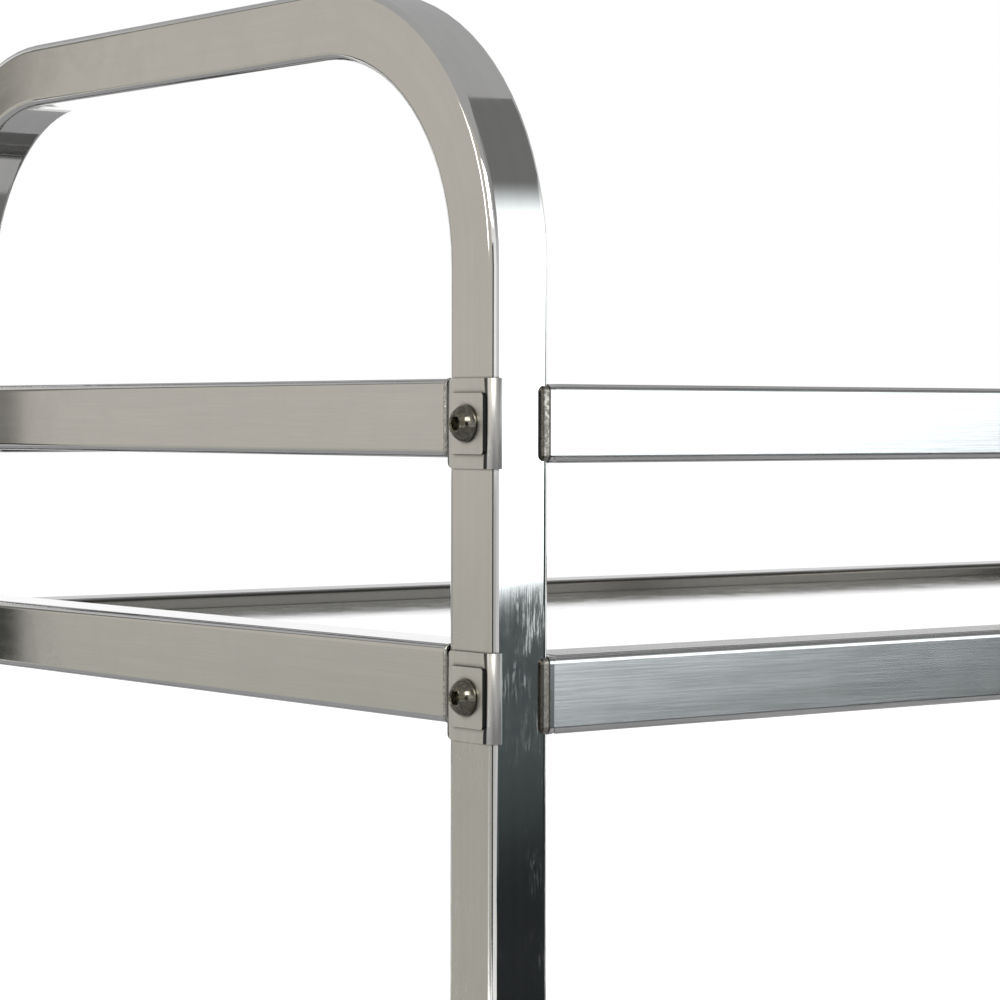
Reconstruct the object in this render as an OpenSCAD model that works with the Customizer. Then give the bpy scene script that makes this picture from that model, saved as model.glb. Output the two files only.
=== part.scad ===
// Seasoning cart: a stainless steel trolley that comes apart into two end frames and six long rails.
// X runs along the cart, Y across it, Z up. The origin is on the floor under the cart's middle.

/* [Overall] */
// Length over the outer faces of the end posts
cart_length = 800; // [600:10:900]
// Width over the outer faces of the posts
cart_width = 460; // [360:10:560]
// Height of the top face of the long guard rails
guard_top = 742; // [700:1:800]
// Height of the top face of the long rails beside the work tray
work_top = 639; // [560:1:660]
// Height of the top face of the long rails beside the lower shelf
shelf_top = 240; // [210:1:400]
// How far the short guard rails sit above the long ones
guard_lift = 2; // [0:0.5:6]
// How far the short rails of both tray levels sit above the long ones
tray_lift = 4; // [0:0.5:6]

/* [End frames] */
// Outer width of the square post tube
post_w = 28; // [26:1:32]
// Wall of the post tube
post_wall = 1.2; // [1:0.1:2]
// Outer corner radius of the post tube
post_r = 3.4; // [2.5:0.1:4]
// Centre line radius of the two bends of the push handle
bend_r = 100; // [60:5:140]
// Straight post between the guard rails and the bend
bend_rise = 44; // [20:2:80]

/* [Rails] */
// Outer width and height of the square rail tube
rail_w = 30; // [30:1:36]
// Wall of the rail tube
rail_wall = 1.2; // [1:0.1:2]
// Outer corner radius of the rail tube
rail_r = 3; // [2:0.1:4]
// Corner radius at the ends of a long rail, seen from its side
rail_end_r = 3.5; // [1:0.5:5]

/* [Rail joints] */
// Thread diameter of the rail screws
screw_d = 8; // [6:1:10]
// Length of a rail screw under its head
screw_len = 45; // [42:1:48]
// Diameter of the screw's button head
screw_head_d = 14; // [12:0.5:18]
// Height of the screw's button head
screw_head_h = 5.4; // [4:0.1:7]
// Width across the flats of the hexagon socket
socket_flats = 5; // [4:0.5:6]
// Depth of the hexagon socket
socket_depth = 2.6; // [2:0.1:3]
// Gap between the end of a long rail and the inner side of the short rails
rail_gap = 0.2; // [0.1:0.1:4]
// Reach of the collar's lip along the post's outer side
collar_lip = 5.4; // [4:0.1:8]
// Corner radius of the collar's lip
lip_corner = 3; // [0.5:0.5:5]
// Length of the collar's plug inside the rail
plug_len = 14; // [12:1:30]
// Sheet thickness of the corner clip on the post
clip_t = 1.5; // [1:0.1:2.5]
// Height of the corner clip
clip_h = 34; // [32:1:50]
// Distance of the clip's free edge from the post's inner side
clip_back = 2.1; // [0.5:0.1:5]
// Reach of the clip's return along the post's outer side
clip_return = 3.8; // [2:0.1:8]
// Corner radius of the clip's free edge
clip_corner = 3; // [1:0.5:5]
// Thickness of the square pad under the screw head
pad_t = 1.6; // [1:0.1:3]
// Width of the pad
pad_w = 20.8; // [18:0.1:24]
// Height of the pad
pad_h = 23; // [18:0.5:28]
// Corner radius of the pad
pad_r = 1.2; // [0.5:0.1:3]

/* [Trays] */
// Sheet thickness of the trays
tray_t = 1.2; // [0.8:0.1:2]
// Depth of a tray's surface below the top of its rails
tray_sink = 7; // [4:1:14]
// Outer radius of the tray's folded edge
tray_fold = 3; // [2.5:0.5:6]
// Width of the stiffening rib under each tray
rib_w = 60; // [30:5:100]
// Height of the stiffening rib
rib_h = 15; // [8:1:18]
// Distance from each end of the tray to the end of its rib
rib_back = 20; // [5:5:100]
// Thickness of the tabs that carry a tray
tab_t = 2; // [1.5:0.5:4]
// Width of a tab along its rail
tab_w = 30; // [20:5:60]
// Reach of a tab under the tray
tab_reach = 16; // [8:1:30]
// Distance of a tab's outer end from the post's outer side
tab_inset = 17; // [12:1:20]
// Distance of the outer tabs from the middle of the rail
tab_pitch = 240; // [100:10:240]

/* [Casters] */
// Diameter over the tyre
wheel_d = 100; // [75:5:110]
// Width of the tyre
tyre_w = 26; // [20:1:30]
// Radius of the tyre's rounded shoulders
tyre_shoulder = 4; // [1:0.5:5]
// Thickness of the tyre's tread
tread_t = 10; // [6:1:14]
// Width of the wheel's hub
hub_w = 30; // [28:1:36]
// Diameter of the wheel's hub
hub_d = 26; // [22:1:34]
// Thickness of the disc between hub and rim
web_t = 8; // [4:1:12]
// Distance of the axle behind the swivel axis
trail = 32; // [25:1:36]
// Thickness of the fork's steel
fork_t = 2.5; // [2:0.1:4]
// Outer bend radius of the fork's shoulders
fork_fold = 6; // [4:0.5:8]
// Diameter of the axle bolt
axle_d = 8; // [8:1:10]
// Wall of the bush between axle and hub
bush_wall = 2; // [1:0.5:3]
// Diameter of the caster's stem
stem_d = 12; // [10:1:14]
// Length of the stem's thread inside the post
stem_thread = 26; // [15:1:28]
// Height of the stem's hexagon
stem_hex_h = 5; // [4:1:8]
// Width across the flats of the stem's hexagon
stem_hex_flats = 22; // [18:1:26]
// Diameter of the bearing cup over the fork
cup_d = 48; // [46:1:54]
// Sheet thickness of the bearing cup
cup_t = 2; // [1.5:0.5:3]
// Height of the raised bearing seat on the fork
seat_h = 3; // [2:0.5:5]
// Diameter of the bearing seat
seat_d = 42; // [36:1:42]
// Thickness of the sliding washer between seat and cup
washer_t = 1.3; // [1:0.1:3]
// Thickness of the plug's flange under the post
foot_t = 4; // [2:1:8]
// Length of the plug inside the post
foot_len = 28; // [20:1:40]

/* [Brakes] */
// Diameter of the pedal's pin
brake_pin_d = 6; // [5:0.5:8]
// Distance of the pedal's pin behind the axle
brake_back = 50; // [48:1:56]
// Height of the pedal's pin above the axle
brake_up = 38; // [34:1:42]
// Steel thickness of the pedal
pedal_t = 3; // [2:0.5:4]
// Width of the pedal's foot pad
pedal_w = 44; // [34:1:60]
// Width of the pedal's arm between the fork legs
pedal_arm_w = 27; // [20:1:30]
// Reach of the pedal beyond its pin
pedal_reach = 38; // [25:1:60]
// Width of the tongue that presses on the tyre
tongue_w = 20; // [10:1:24]
// Length of the tongue below the pin
tongue_len = 16; // [12:0.5:17]

/* [Hidden] */
$fn = 64;
// Gap all round between two pieces that slip into each other
slip = 0.15;
// Radial gap of a shaft that turns or screws in its bore
run_gap = 0.05;
// Radial gap of a screw in a drilled hole
drill_gap = 0.3;
// Gap between two faces that only clear each other
face_gap = 0.2;
// Extra length of a cut beyond the solid that it goes through
cut = 1;

rail_proud = (rail_w - post_w) / 2;
collar_t = rail_proud + rail_gap;
// Distance of the screws from the post's middle, towards its outer side: they sit in the middle of the clip's face
screw_shift = (clip_back + clip_t) / 2;
post_mid = post_w / 2;
post_x = cart_length / 2 - post_mid;
post_y = cart_width / 2 - post_mid;
bend_z = guard_top + bend_rise;
handle_z = bend_z + bend_r;
rail_mid_drop = rail_w / 2;
level_tops = [guard_top, work_top, shelf_top];
tray_levels = [work_top, shelf_top];
short_rail_len = cart_width - 2 * post_w;
long_rail_len = cart_length - 2 * (post_w + collar_t);
rail_bore_w = rail_w - 2 * rail_wall;
post_bore_w = post_w - 2 * post_wall;

tray_gap = 0.8;
tray_len = cart_length - 2 * (post_w + rail_proud + tray_gap);
tray_wid = cart_width - 2 * (post_w + rail_proud + tray_gap);
tray_drop = rail_w - tray_sink;

wheel_r = wheel_d / 2;
wheel_room = 4;
rim_r = wheel_r - tread_t;
axle_r = axle_d / 2;
stem_r = stem_d / 2;
fork_in = hub_w / 2 + 1;
fork_out = fork_in + fork_t;
fork_under = wheel_d + wheel_room;
fork_top = fork_under + fork_t;
seat_top = fork_top + seat_h;
washer_low = seat_top + face_gap;
cup_low = washer_low + washer_t + face_gap;
cup_top = cup_low + cup_t;
hex_top = cup_top + stem_hex_h;
foot_z = hex_top + foot_t;
stem_rivet_r = 10;
stem_rivet_h = 3;

// Reach of the fork before its stem and behind its axle
fork_lap = 22;
fork_front = -fork_lap;
fork_back = trail + fork_lap;
axle_boss_r = 14;
front_skirt = 16;
back_skirt = 8;
brake_x = trail + brake_back;
brake_z = wheel_r + brake_up;
brake_ear_r = 7;
pedal_room = 4;
pedal_corner = 5;
brake_sleeve_r = brake_pin_d / 2 + 2;
rivet_head_r = brake_pin_d / 2 + 2;
rivet_head_h = 2;

axle_head_flats = 13;
axle_head_h = 5.3;
axle_nut_h = 8;
axle_tip = 1.5;
nut_collar_r = 6;
nut_hex_h = 6;
bush_proud = 0.8;

// Radius to the corners of a hexagon of the given width across its flats
function hex_r(flats) = flats / sqrt(3);
// The point of a circle at an angle
function on_circle(x, y, r, angle) = [x + r * cos(angle), y + r * sin(angle)];

// Shared shapes

// A rectangle with rounded corners, centred on the origin
module round_rect(w, h, r) {
    square([w - 2 * r, h], center = true);
    square([w, h - 2 * r], center = true);
    for (x = [-1, 1], y = [-1, 1])
        translate([x * (w / 2 - r), y * (h / 2 - r)]) circle(r = r);
}

// A rectangle whose two upper corners are rounded
module fold_profile(w, h, r) {
    translate([-w / 2, -h / 2]) square([w, h - r]);
    square([w - 2 * r, h], center = true);
    for (x = [-1, 1]) translate([x * (w / 2 - r), h / 2 - r]) circle(r = r);
}

// The section of a square tube
module tube_section(w, wall, r) {
    difference() {
        round_rect(w, w, r);
        round_rect(w - 2 * wall, w - 2 * wall, r - wall);
    }
}

// Extrusions along X and Y, centred
module along_x(len) {
    rotate([90, 0, 90]) linear_extrude(len, center = true) children();
}
module along_y(len) {
    rotate([90, 0, 0]) linear_extrude(len, center = true) children();
}

// A round bar along X from x0 to x1
module rod_x(r, x0, x1) {
    translate([x0, 0, 0]) rotate([0, 90, 0]) cylinder(r = r, h = x1 - x0);
}
// A round bar along Y from y0 to y1
module rod_y(r, y0, y1) {
    translate([0, y1, 0]) rotate([90, 0, 0]) cylinder(r = r, h = y1 - y0);
}

// Moves a piece into one corner: its X and Y then run from the post's outer corner towards the middle
module corner(end, side) {
    translate([end * cart_length / 2, side * cart_width / 2, 0])
        mirror([end > 0 ? 1 : 0, 0, 0]) mirror([0, side > 0 ? 1 : 0, 0]) children();
}
module each_corner() {
    for (end = [-1, 1], side = [-1, 1]) corner(end, side) children();
}
// Moves a piece from the post's middle onto the axis of the rail screw
module on_screw() {
    translate([0, -screw_shift, 0]) children();
}
// Each place where a long rail meets a post: the origin is in the middle of the post's outer face
module each_joint() {
    for (top = level_tops)
        each_corner() translate([0, post_mid, top - rail_mid_drop]) children();
}
// Moves a piece to a caster: the origin is on the floor under the swivel axis, X is towards the wheel
module caster(end, side) {
    corner(end, side) translate([post_mid, post_mid, 0]) children();
}
module each_caster() {
    for (end = [-1, 1], side = [-1, 1]) caster(end, side) children();
}

// End frames

// One half of the bent post, from its foot to the middle of the handle
module half_hoop(w, r, low) {
    translate([0, post_y, low]) linear_extrude(bend_z - low) round_rect(w, w, r);
    translate([0, post_y - bend_r, bend_z]) rotate([90, 0, 90])
        rotate_extrude(angle = 90) translate([bend_r, 0]) round_rect(w, w, r);
    translate([0, (post_y - bend_r) / 2, handle_z]) along_y(post_y - bend_r) round_rect(w, w, r);
}
module whole_hoop(w, r, low) {
    half_hoop(w, r, low);
    mirror([0, 1, 0]) half_hoop(w, r, low);
}
module hoop(end) {
    color("silver") translate([end * post_x, 0, 0]) difference() {
        whole_hoop(post_w, post_r, foot_z);
        whole_hoop(post_bore_w, post_r - post_wall, foot_z - cut);
        for (side = [-1, 1], top = level_tops)
            translate([0, side * (post_y + screw_shift), top - rail_mid_drop])
                rod_x(screw_d / 2 + drill_gap, -post_mid - cut, post_mid + cut);
    }
}

// Rails

// A short rail, welded between the two posts of an end frame
module short_rail(top, end) {
    color("silver") translate([end * post_x, 0, top - rail_mid_drop])
        along_y(short_rail_len) tube_section(rail_w, rail_wall, rail_r);
}
// A long rail, bolted between the end frames
module long_rail(top, side) {
    color("gainsboro") translate([0, side * post_y, top - rail_mid_drop]) intersection() {
        along_x(long_rail_len) tube_section(rail_w, rail_wall, rail_r);
        along_y(2 * rail_w) round_rect(long_rail_len, rail_w, rail_end_r);
    }
}

// The collar and threaded plug in the end of a long rail
module rail_collar() {
    plug_w = rail_bore_w - 2 * slip;
    difference() {
        union() {
            intersection() {
                translate([post_w + collar_t - rail_w / 2, 0, 0])
                    along_x(rail_w) round_rect(rail_w, rail_w, rail_r);
                translate([post_w - collar_lip + rail_w / 2, 0, 0])
                    along_y(2 * rail_w) round_rect(rail_w, rail_w, lip_corner);
            }
            translate([post_w + collar_t + plug_len / 2, 0, 0])
                along_x(plug_len) round_rect(plug_w, plug_w, rail_r - rail_wall);
        }
        translate([post_mid, 0, -rail_w]) linear_extrude(2 * rail_w)
            round_rect(post_w + 2 * run_gap, post_w + 2 * run_gap, post_r + run_gap);
        translate([0, post_mid - run_gap, -rail_w])
            cube([post_w + rail_proud + run_gap, rail_w, 2 * rail_w]);
        on_screw() rod_x(screw_d / 2 + run_gap, 0, post_w + collar_t + plug_len + cut);
    }
}
module rail_collars() {
    color("darkgray") each_joint() rail_collar();
}

// The sheet clip that wraps round the post's outer corner
module corner_clip() {
    reach = post_w - clip_back;
    difference() {
        intersection() {
            translate([post_mid, 0, -clip_h / 2]) linear_extrude(clip_h) difference() {
                round_rect(post_w + 2 * clip_t, post_w + 2 * clip_t, post_r + clip_t);
                round_rect(post_w + 2 * run_gap, post_w + 2 * run_gap, post_r + run_gap);
            }
            translate([clip_return - post_w / 2, reach - post_mid - clip_h, 0])
                along_x(post_w) round_rect(2 * clip_h, clip_h, clip_corner);
        }
        on_screw() rod_x(screw_d / 2 + drill_gap, -clip_t - cut, post_w);
    }
}
module corner_clips() {
    color("silver") each_joint() corner_clip();
}

module screw_pad() {
    translate([-clip_t - pad_t / 2, 0, 0]) difference() {
        along_x(pad_t) round_rect(pad_w, pad_h, pad_r);
        rod_x(screw_d / 2 + drill_gap, -pad_t, pad_t);
    }
}
module screw_pads() {
    color("silver") each_joint() on_screw() screw_pad();
}

// A button head screw with a hexagon socket, its head on the -X side of the origin
module rail_screw() {
    rim = 1.2;
    dome = screw_head_h - rim;
    dome_r = (pow(screw_head_d / 2, 2) + pow(dome, 2)) / (2 * dome);
    difference() {
        union() {
            rod_x(screw_d / 2, -rim, screw_len);
            rod_x(screw_head_d / 2, -rim, 0);
            intersection() {
                rod_x(screw_head_d / 2, -screw_head_h, -rim);
                translate([dome_r - screw_head_h, 0, 0]) sphere(r = dome_r);
            }
        }
        translate([-screw_head_h - cut, 0, 0]) rotate([0, 90, 0])
            cylinder(r = hex_r(socket_flats), h = socket_depth + cut, $fn = 6);
    }
}
module rail_screws() {
    color("dimgray") each_joint() on_screw() translate([-clip_t - pad_t, 0, 0]) rail_screw();
}

// Trays

// The outside of a tray with folded edges, or its inside when shrunk by the sheet's thickness
module tray_block(inset, r) {
    half = tray_drop - inset;
    intersection() {
        along_y(tray_wid - 2 * inset)
            translate([0, -half / 2 - inset]) fold_profile(tray_len - 2 * inset, half, r);
        along_x(tray_len - 2 * inset)
            translate([0, -half / 2 - inset]) fold_profile(tray_wid - 2 * inset, half, r);
    }
}
module tray(top) {
    color("whitesmoke") translate([0, 0, top - tray_sink]) difference() {
        tray_block(0, tray_fold);
        tray_block(tray_t, tray_fold - tray_t);
        translate([0, 0, -cut]) tray_block(tray_t, tray_fold - tray_t);
    }
}
module tray_rib(top) {
    len = tray_len - 2 * rib_back;
    color("silver") translate([0, 0, top - tray_sink - tray_t - rib_h / 2]) difference() {
        cube([len, rib_w, rib_h], center = true);
        translate([0, 0, -tray_t]) cube([len + 2 * cut, rib_w - 2 * tray_t, rib_h], center = true);
    }
}
module tray_tabs() {
    tab_len = post_w + rail_proud + tab_reach - tab_inset;
    color("silver")
        for (top = tray_levels, side = [-1, 1], x = [-tab_pitch, 0, tab_pitch])
            translate([x, side * (cart_width / 2 - tab_inset - tab_len / 2), top - rail_w - tab_t / 2])
                cube([tab_w, tab_len, tab_t], center = true);
}

// Casters

module post_plugs() {
    plug_w = post_bore_w - 2 * slip;
    color("dimgray") each_caster() difference() {
        union() {
            translate([0, 0, hex_top]) linear_extrude(foot_t) round_rect(post_w, post_w, post_r);
            translate([0, 0, foot_z]) linear_extrude(foot_len)
                round_rect(plug_w, plug_w, post_r - post_wall);
        }
        translate([0, 0, hex_top - cut]) cylinder(r = stem_r + run_gap, h = foot_t + foot_len + 2 * cut);
    }
}
module caster_stems() {
    color("gray") each_caster() {
        translate([0, 0, fork_under - face_gap]) cylinder(r = stem_r, h = hex_top + stem_thread - fork_under);
        translate([0, 0, cup_top]) cylinder(r = hex_r(stem_hex_flats), h = stem_hex_h, $fn = 6);
        translate([0, 0, fork_under - face_gap - stem_rivet_h]) cylinder(r = stem_rivet_r, h = stem_rivet_h);
    }
}
module bearing_cups() {
    color("silver") each_caster() difference() {
        translate([0, 0, fork_top + face_gap]) cylinder(d = cup_d, h = cup_top - fork_top - face_gap);
        translate([0, 0, fork_top - cut]) cylinder(d = cup_d - 2 * cup_t, h = cup_low - fork_top + cut);
        translate([0, 0, cup_low - cut]) cylinder(r = stem_r + run_gap, h = cup_t + 2 * cut);
    }
}
module sliding_washers() {
    color("ivory") each_caster() translate([0, 0, washer_low]) difference() {
        cylinder(d = seat_d - 4, h = washer_t);
        translate([0, 0, -cut]) cylinder(r = stem_r + run_gap, h = washer_t + 2 * cut);
    }
}

// The fork's outline from the side, with a pair of ears behind the wheel if it carries a brake
module fork_side(ears) {
    polygon([
        [fork_front, fork_top],
        [fork_back, fork_top],
        [fork_back, fork_under - back_skirt],
        on_circle(trail, wheel_r, axle_boss_r, 14),
        on_circle(trail, wheel_r, axle_boss_r, 224),
        [fork_front, fork_under - front_skirt]
    ]);
    translate([trail, wheel_r]) circle(r = axle_boss_r);
    if (ears) {
        polygon([
            [trail, fork_top],
            [fork_back, fork_top],
            on_circle(brake_x, brake_z, brake_ear_r, 60),
            on_circle(brake_x, brake_z, brake_ear_r, 264),
            on_circle(trail, wheel_r, axle_boss_r, 45)
        ]);
        translate([brake_x, brake_z]) circle(r = brake_ear_r);
    }
}
module fork(ears) {
    reach = brake_x + brake_ear_r + cut;
    difference() {
        union() {
            intersection() {
                translate([0, 0, fork_top / 2]) along_x(2 * reach)
                    fold_profile(2 * fork_out, fork_top, fork_fold);
                along_y(2 * fork_out + 2 * cut) fork_side(ears);
            }
            translate([0, 0, fork_top - fork_t / 2]) cylinder(d = seat_d, h = seat_h + fork_t / 2);
        }
        translate([0, 0, fork_under / 2]) along_x(2 * reach + 2 * cut)
            fold_profile(2 * fork_in, fork_under, fork_fold - fork_t);
        translate([0, 0, fork_under - cut]) cylinder(r = stem_r + run_gap, h = fork_t + seat_h + 2 * cut);
        translate([trail, 0, wheel_r]) rod_y(axle_r + 2 * run_gap, -fork_out - cut, fork_out + cut);
        if (ears) translate([brake_x, 0, brake_z])
            rod_y(brake_pin_d / 2 + 2 * run_gap, -fork_out - cut, fork_out + cut);
    }
}

// The wheel's core: hub, disc and rim in one
module wheel() {
    rim_w = tyre_w - 2;
    rim_t = 4;
    rotate([90, 0, 0]) difference() {
        union() {
            cylinder(d = hub_d, h = hub_w, center = true);
            cylinder(r = rim_r - rim_t / 2, h = web_t, center = true);
            difference() {
                cylinder(r = rim_r, h = rim_w, center = true);
                cylinder(r = rim_r - rim_t, h = rim_w + 2 * cut, center = true);
            }
        }
        cylinder(r = axle_r + run_gap + bush_wall + run_gap, h = hub_w + 2 * cut, center = true);
    }
}
// The tyre, with rounded shoulders
module tyre() {
    rotate([90, 0, 0]) rotate_extrude($fn = 96) difference() {
        translate([wheel_r / 2, 0]) round_rect(wheel_r, tyre_w, tyre_shoulder);
        translate([(rim_r + run_gap) / 2 - cut, 0])
            square([rim_r + run_gap + 2 * cut, tyre_w + 2 * cut], center = true);
    }
}
module bush() {
    rotate([90, 0, 0]) difference() {
        cylinder(r = axle_r + run_gap + bush_wall, h = hub_w + 2 * bush_proud, center = true);
        cylinder(r = axle_r + run_gap, h = hub_w + 2 * (bush_proud + cut), center = true);
    }
}
// The axle bolt, its hexagon head on the outer side of the cart
module axle() {
    rod_y(axle_r, -fork_out, fork_out + axle_nut_h + axle_tip);
    translate([0, -fork_out, 0]) rotate([90, 0, 0])
        cylinder(r = hex_r(axle_head_flats), h = axle_head_h, $fn = 6);
}
module axle_nut() {
    translate([0, fork_out, 0]) rotate([-90, 0, 0]) difference() {
        union() {
            cylinder(r = hex_r(axle_head_flats), h = nut_hex_h, $fn = 6);
            cylinder(r = nut_collar_r, h = axle_nut_h);
        }
        translate([0, 0, -cut]) cylinder(r = axle_r + run_gap, h = axle_nut_h + 2 * cut);
    }
}

// Brakes

// The pedal with its sleeve and the tongue that reaches down behind the tyre
module brake_pedal() {
    pad_start = brake_ear_r + pedal_room;
    difference() {
        union() {
            rod_y(brake_sleeve_r, -pedal_arm_w / 2, pedal_arm_w / 2);
            translate([0, -pedal_arm_w / 2, brake_sleeve_r - pedal_t])
                cube([pad_start + pedal_t, pedal_arm_w, pedal_t]);
            translate([pad_start, 0, brake_sleeve_r - pedal_t]) linear_extrude(pedal_t)
                translate([(pedal_reach - pad_start) / 2, 0])
                    round_rect(pedal_reach - pad_start, pedal_w, pedal_corner);
            translate([-pedal_t / 2, -tongue_w / 2, -tongue_len]) cube([pedal_t, tongue_w, tongue_len]);
        }
        rod_y(brake_pin_d / 2 + run_gap, -pedal_arm_w, pedal_arm_w);
    }
}
module brake_pin() {
    rod_y(brake_pin_d / 2, -fork_out, fork_out);
    for (side = [-1, 1]) translate([0, side * (fork_out + rivet_head_h / 2), 0])
        rod_y(rivet_head_r, -rivet_head_h / 2, rivet_head_h / 2);
}

module on_axle(end, side) {
    caster(end, side) translate([trail, 0, wheel_r]) children();
}
module on_brake(end, side) {
    caster(end, side) translate([brake_x, 0, brake_z]) children();
}
module caster_fork(end, side, ears) {
    color("silver") caster(end, side) fork(ears);
}
module caster_wheel(end, side) {
    color("gainsboro") on_axle(end, side) wheel();
}
module caster_tyre(end, side) {
    color("gray") on_axle(end, side) tyre();
}
module caster_bush(end, side) {
    color("tan") on_axle(end, side) bush();
}
module caster_axle(end, side) {
    color("darkgray") on_axle(end, side) axle();
}
module caster_nut(end, side) {
    color("darkgray") on_axle(end, side) axle_nut();
}
module caster_pedal(end, side) {
    color("dimgray") on_brake(end, side) brake_pedal();
}
module caster_brake_pin(end, side) {
    color("darkgray") on_brake(end, side) brake_pin();
}

hoop(-1);  // hoop_left
hoop(1);  // hoop_right
short_rail(guard_top + guard_lift, -1);  // guard_rail_left
short_rail(guard_top + guard_lift, 1);  // guard_rail_right
long_rail(guard_top, -1);  // guard_rail_front
long_rail(guard_top, 1);  // guard_rail_back
short_rail(work_top + tray_lift, -1);  // work_rail_left
short_rail(work_top + tray_lift, 1);  // work_rail_right
long_rail(work_top, -1);  // work_rail_front
long_rail(work_top, 1);  // work_rail_back
short_rail(shelf_top + tray_lift, -1);  // shelf_rail_left
short_rail(shelf_top + tray_lift, 1);  // shelf_rail_right
long_rail(shelf_top, -1);  // shelf_rail_front
long_rail(shelf_top, 1);  // shelf_rail_back
rail_collars();
corner_clips();
screw_pads();
rail_screws();
tray(work_top);  // work_tray
tray_rib(work_top);  // work_tray_rib
tray(shelf_top);  // shelf_tray
tray_rib(shelf_top);  // shelf_tray_rib
tray_tabs();
post_plugs();
caster_stems();
bearing_cups();
sliding_washers();
caster_fork(-1, -1, true);  // fork_left_front
caster_fork(-1, 1, true);  // fork_left_back
caster_fork(1, -1, false);  // fork_right_front
caster_fork(1, 1, false);  // fork_right_back
caster_wheel(-1, -1);  // wheel_left_front
caster_wheel(-1, 1);  // wheel_left_back
caster_wheel(1, -1);  // wheel_right_front
caster_wheel(1, 1);  // wheel_right_back
caster_tyre(-1, -1);  // tyre_left_front
caster_tyre(-1, 1);  // tyre_left_back
caster_tyre(1, -1);  // tyre_right_front
caster_tyre(1, 1);  // tyre_right_back
caster_bush(-1, -1);  // bush_left_front
caster_bush(-1, 1);  // bush_left_back
caster_bush(1, -1);  // bush_right_front
caster_bush(1, 1);  // bush_right_back
caster_axle(-1, -1);  // axle_left_front
caster_axle(-1, 1);  // axle_left_back
caster_axle(1, -1);  // axle_right_front
caster_axle(1, 1);  // axle_right_back
caster_nut(-1, -1);  // axle_nut_left_front
caster_nut(-1, 1);  // axle_nut_left_back
caster_nut(1, -1);  // axle_nut_right_front
caster_nut(1, 1);  // axle_nut_right_back
caster_pedal(-1, -1);  // brake_pedal_left_front
caster_pedal(-1, 1);  // brake_pedal_left_back
caster_brake_pin(-1, -1);  // brake_pin_left_front
caster_brake_pin(-1, 1);  // brake_pin_left_back
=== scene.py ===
import math

import bmesh
import bpy
from bpy.props import FloatProperty, FloatVectorProperty, IntProperty, PointerProperty
from mathutils import Matrix, Vector, noise


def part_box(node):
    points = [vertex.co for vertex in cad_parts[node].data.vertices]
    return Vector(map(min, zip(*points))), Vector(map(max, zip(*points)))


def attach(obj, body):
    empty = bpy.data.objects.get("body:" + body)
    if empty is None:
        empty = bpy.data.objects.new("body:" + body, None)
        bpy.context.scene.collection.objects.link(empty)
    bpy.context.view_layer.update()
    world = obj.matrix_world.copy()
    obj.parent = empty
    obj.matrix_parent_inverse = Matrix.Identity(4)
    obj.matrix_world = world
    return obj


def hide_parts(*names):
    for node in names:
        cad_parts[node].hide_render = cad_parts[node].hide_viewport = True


bl_info = {
    "name": "Seasoning cart dressing",
    "version": (1, 0, 0),
    "blender": (4, 5, 0),
    "location": "3D View > Sidebar > Cart",
    "description": "Finishes, wheels, welds and studio for a stainless steel seasoning cart",
    "category": "Object",
}

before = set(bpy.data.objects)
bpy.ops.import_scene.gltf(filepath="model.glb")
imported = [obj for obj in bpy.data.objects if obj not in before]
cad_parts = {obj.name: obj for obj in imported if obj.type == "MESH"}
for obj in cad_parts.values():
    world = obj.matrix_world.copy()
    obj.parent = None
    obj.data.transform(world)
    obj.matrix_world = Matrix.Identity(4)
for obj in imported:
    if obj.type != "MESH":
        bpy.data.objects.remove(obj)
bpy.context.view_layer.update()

CORNERS = ("left_front", "left_back", "right_front", "right_back")
BRAKED = ("left_front", "left_back")
LEVELS = ("guard", "work", "shelf")


def box_middle(node):
    """The middle of a CAD node's box."""
    low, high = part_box(node)
    return (low + high) / 2


def box_size(node):
    """The size of a CAD node's box."""
    low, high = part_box(node)
    return high - low


POST_WIDTH = box_size("hoop_left").x
RAIL_WIDTH = box_size("guard_rail_front").z
HANDLE_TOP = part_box("hoop_left")[1].z
POST_OUT_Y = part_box("hoop_left")[1].y


# Measures of the finer forms, in metres

# The smallest rounded edges
FINE_EDGE = 0.0003

# Rail screws: head, shank and point, the plain head that they replace, and the hexagon socket
SCREW_HEAD_R, SCREW_HEAD_H, SCREW_RIM_H = 0.0071, 0.0062, 0.0011
SCREW_SHANK_R, SCREW_LENGTH = 0.0039, 0.045
POINT_H, POINT_R, TIP_SHARE = 0.0008, 0.0006, 0.02
PLAIN_HEAD_R = 0.007
SOCKET_FLATS, SOCKET_ENTRY_R, SOCKET_DEPTH = 0.0050, 0.0034, 0.0030
SOCKET_LIP, SOCKET_CHAMFER, SOCKET_CONE, CONE_TIP_R = 0.0001, 0.0005, 0.0004, 0.0001
DOME_RINGS, SCREW_SIDES = 10, 48

# Finishes: how far a collar's seam lies behind its far end, and where the posts' haze ends
COLLAR_SEAM_BACK = 0.0048
HAZE_LEVEL = (0.652, 0.672)

# Weld beads: corner of the loop round a rail, and how far it sits on the rail
WELD_CORNER_R, WELD_INSET = 0.003, 0.0003

# Wheels: bore, hub, web and rim, the radial ribs, and points round a turn
WHEEL_BORE_R, HUB_R, WEB_HALF, RIM_WALL = 0.0062, 0.0130, 0.0035, 0.004
RIM_EDGE, HUB_EDGE, RIM_INSET = 0.0008, 0.0012, 0.001
RIB_OVERLAP, RIB_BELOW_RIM, RIB_EDGE, RIB_TAPER = 0.0008, 0.0012, 0.0006, 0.8
WHEEL_STEPS, TYRE_STEPS = 72, 96

# Tyres: shoulder, mould seam, and the gap to the rim
TYRE_SHOULDER_R, MOULD_SEAM, SEAM_HALF, TYRE_FIT = 0.004, 0.00015, 0.0005, 0.00002

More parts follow.
